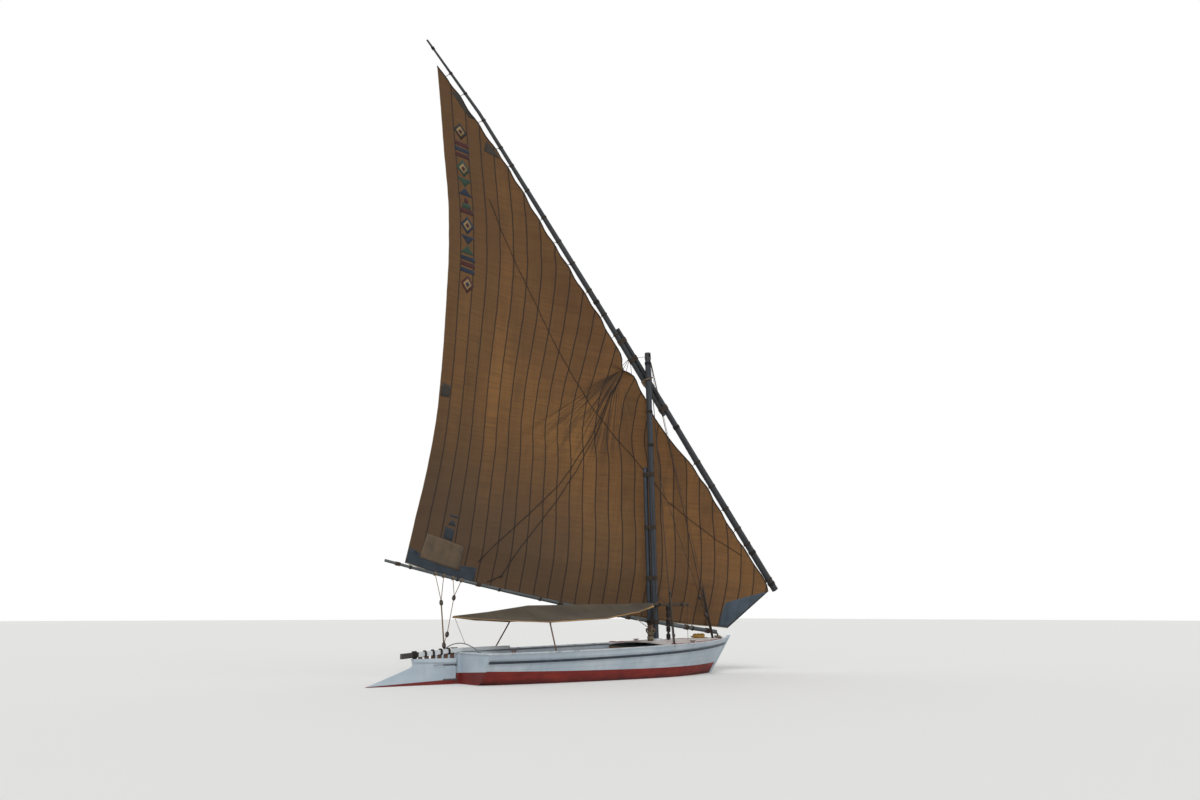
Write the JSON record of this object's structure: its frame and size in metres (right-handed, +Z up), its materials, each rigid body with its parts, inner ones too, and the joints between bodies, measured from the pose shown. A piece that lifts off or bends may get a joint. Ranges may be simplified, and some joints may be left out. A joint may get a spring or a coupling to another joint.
{
  "type": "nile felucca sailing boat",
  "caption": "Open wooden river boat with a lateen sail on a long yard and boom, raked mast, ridge awning over the cockpit, and a broad rudder under a heavy tiller.",
  "frame": {"origin": "on the centreline at the waterline, amid the hull", "axes": "+X towards the bow, +Y to port, +Z up"},
  "size_m": [15.6833, 4.9289, 22.4798],
  "materials": {
    "bottom_paint": "weathered",
    "white_paint": "weathered gloss",
    "rail_paint": "weathered",
    "deck_paint": "satin",
    "keel_wood": "painted",
    "inside_wood": "worn varnish",
    "mast_paint": "matt",
    "yard_wood": "tarred",
    "boom_wood": "weathered",
    "sail_cloth": "worn cotton",
    "awning_cloth": "worn canvas",
    "rope": "weathered",
    "steel": "galvanised",
    "bitt_wood": "worn"
  },
  "bodies": {
    "root": {"hull_bottom": "bottom_paint", "side_port": "white_paint", "side_starboard": "white_paint", "rub_rail_port": "rail_paint", "rub_rail_starboard": "rail_paint", "gunwale_port": "deck_paint", "gunwale_starboard": "deck_paint", "transom": "white_paint", "sternpost": "white_paint", "keel": "keel_wood", "stem": "white_paint", "transom_cap": "deck_paint", "foredeck": "deck_paint", "afterdeck": "deck_paint", "cockpit_sole": "inside_wood", "bench_port": "inside_wood", "bench_starboard": "inside_wood", "aft_bulkhead": "inside_wood", "fore_bulkhead": "inside_wood", "mast": "mast_paint", "mast_step": "inside_wood", "mast_partners": "deck_paint", "masthead": "bitt_wood", "mast_bitt": "bitt_wood", "bow_bitt": "bitt_wood", "sheet_horse": "steel", "awning_canvas": "awning_cloth", "awning_pole": "yard_wood", "awning_post": "bitt_wood", "stanchion_port": "bitt_wood", "stanchion_starboard": "bitt_wood", "awning_spreaders": "bitt_wood", "shroud_starboard": "rope", "forestay": "rope", "rudder_gudgeons": "steel"},
    "rudder": {"rudder_blade": "white_paint", "rudder_cheeks": "white_paint", "rudder_pintles": "steel", "tiller": "white_paint", "tiller_chocks": "bitt_wood", "tiller_lashing": "rope"},
    "rig": {"yard_lower": "yard_wood", "yard_upper": "yard_wood", "yard_lashings": "rope", "sling": "rope", "boom": "boom_wood", "sail": "sail_cloth", "luff_ties": "rope", "foot_ties": "rope", "tack_knot": "rope"}
  },
  "joints": [
    {"name": "rudder_swing", "type": "hinge", "parent": "root", "child": "rudder", "pos_m": [-5.515, 0, 0], "axis": [0, 0, 1], "range_deg": [-35, 35]},
    {"name": "rig_swing", "type": "hinge", "parent": "root", "child": "rig", "pos_m": [5.15, 0, 1.315], "axis": [0.3273, 0, -0.9449], "range_deg": [-8, 22]}
  ]
}
